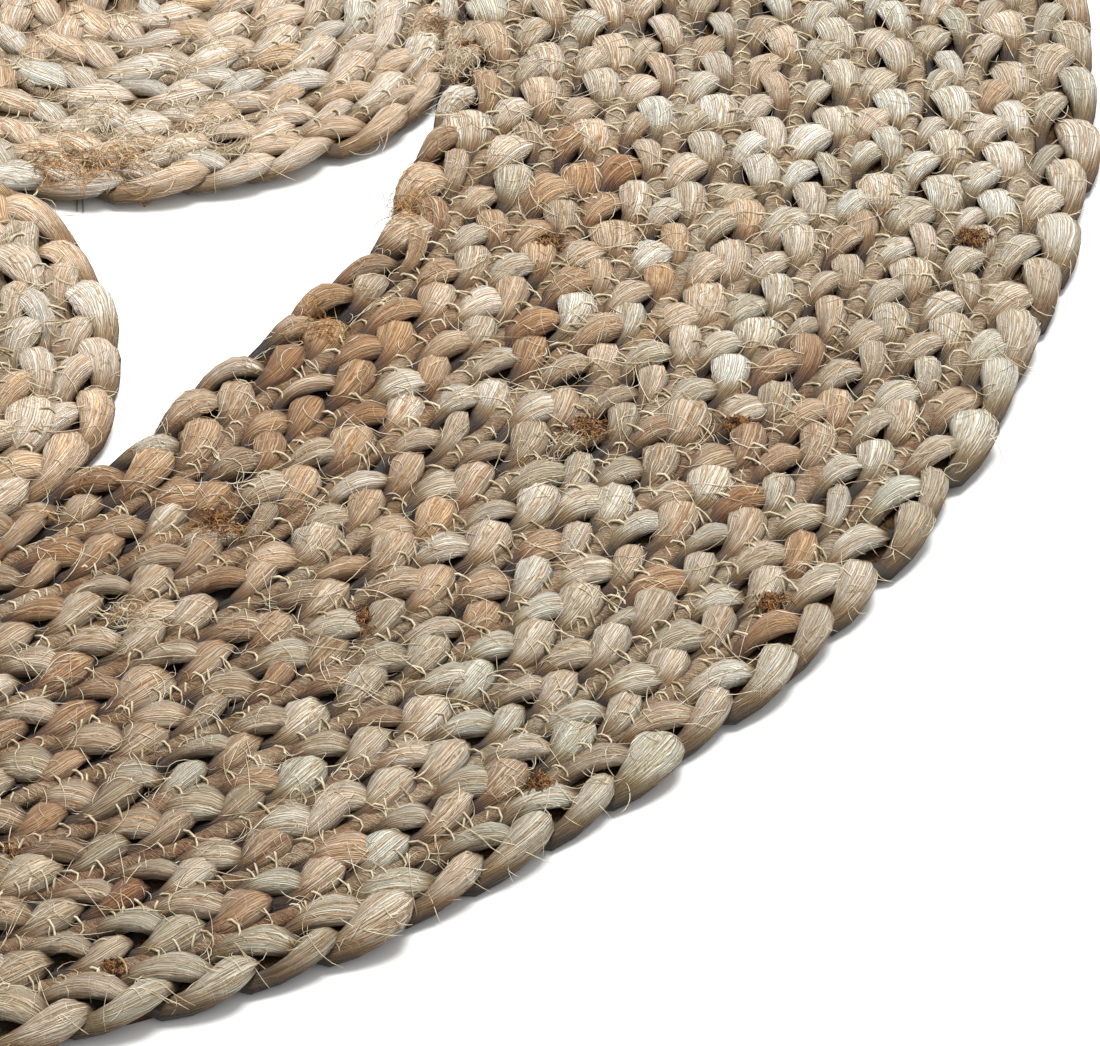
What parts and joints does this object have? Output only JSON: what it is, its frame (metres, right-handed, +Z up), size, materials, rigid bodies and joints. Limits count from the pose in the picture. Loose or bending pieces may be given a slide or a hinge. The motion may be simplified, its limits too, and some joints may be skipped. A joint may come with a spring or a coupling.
{
  "type": "round braided jute rug",
  "caption": "Flat round rug of sewn jute braid: a wide ring of concentric rows around open gaps, with round braided discs sewn into its hole.",
  "frame": {"origin": "middle of the round rug, on the surface it lies on", "axes": "+Z up, out of the rug's upper face; +X and +Y lie in the rug's plane, with the first disc 5 degrees round from +X"},
  "size_m": [1.2, 1.19, 0.011],
  "materials": {
    "ring_jute": "dry matt jute braid, beige to grey-brown",
    "disc_jute": "dry matt jute braid, lighter cream beige"
  },
  "bodies": {
    "root": {"outer_ring": "ring_jute", "disc_1": "disc_jute", "disc_2": "disc_jute", "disc_3": "disc_jute", "disc_4": "disc_jute", "disc_5": "disc_jute"}
  },
  "joints": []
}
